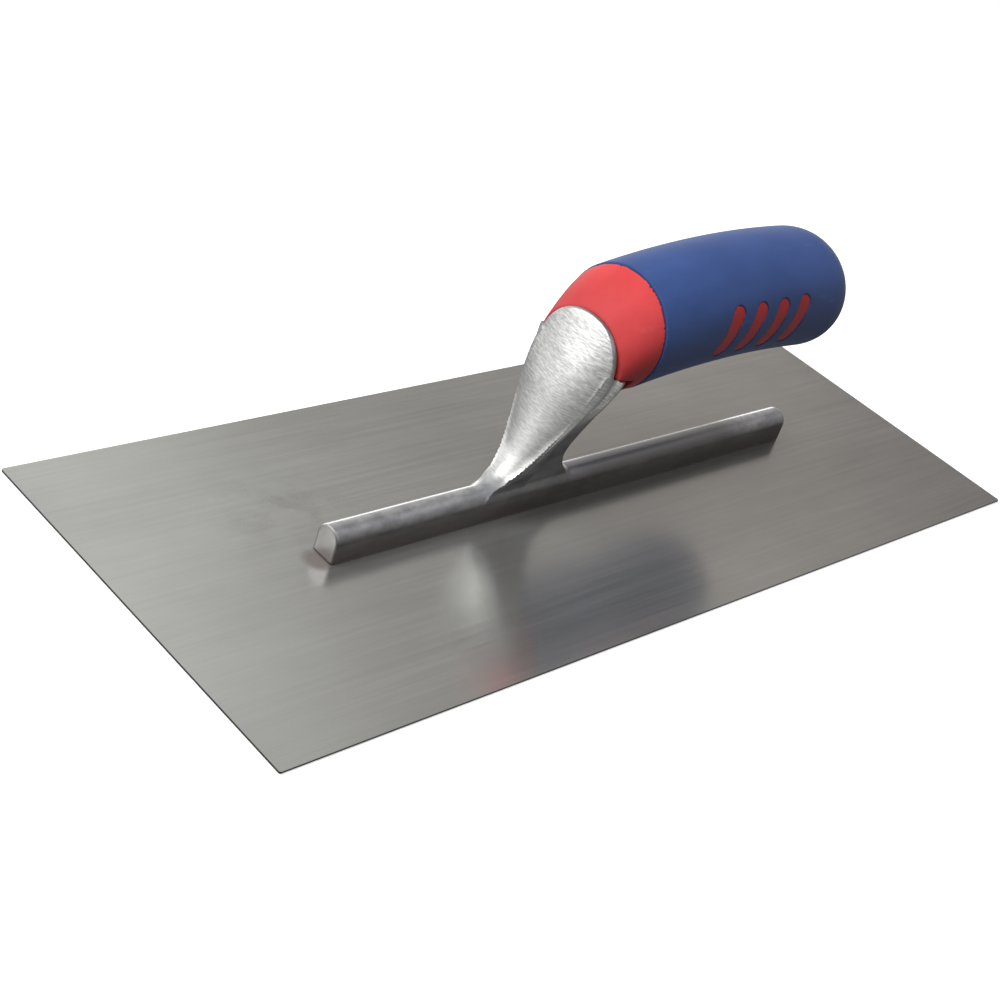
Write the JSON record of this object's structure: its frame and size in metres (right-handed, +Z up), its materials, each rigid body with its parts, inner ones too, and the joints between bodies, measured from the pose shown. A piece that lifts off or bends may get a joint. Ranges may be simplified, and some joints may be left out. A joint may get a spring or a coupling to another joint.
{
  "type": "finishing trowel",
  "caption": "Rectangular steel finishing trowel: a thin flat blade riveted under a cast alloy bar and shank, with an arched two-part moulded handle held on the tang by a hidden screw.",
  "frame": {"origin": "bottom centre of the blade, on its working face", "axes": "+X along the trowel towards the open end of the handle, +Y across the blade, +Z up from the blade to the handle"},
  "size_m": [0.33, 0.127, 0.0844],
  "materials": {
    "blade_steel": "ground lengthways, satin",
    "cast_alloy": "as-cast sides, linished face, polished crest on the bar",
    "rivet_alloy": "flush ground with the blade",
    "hard_red": "satin moulded",
    "soft_blue": "soft-touch matte",
    "zinc_steel": "zinc plated",
    "plug_blue": "satin moulded"
  },
  "bodies": {
    "root": {"blade": "blade_steel", "mounting": "cast_alloy", "rivet_1": "rivet_alloy", "rivet_2": "rivet_alloy", "rivet_3": "rivet_alloy", "rivet_4": "rivet_alloy", "rivet_5": "rivet_alloy", "rivet_6": "rivet_alloy", "rivet_7": "rivet_alloy", "rivet_8": "rivet_alloy", "rivet_9": "rivet_alloy", "rivet_10": "rivet_alloy", "handle_core": "hard_red", "grip_sleeve": "soft_blue", "handle_screw": "zinc_steel", "screw_washer": "zinc_steel", "end_plug": "plug_blue"}
  },
  "joints": []
}
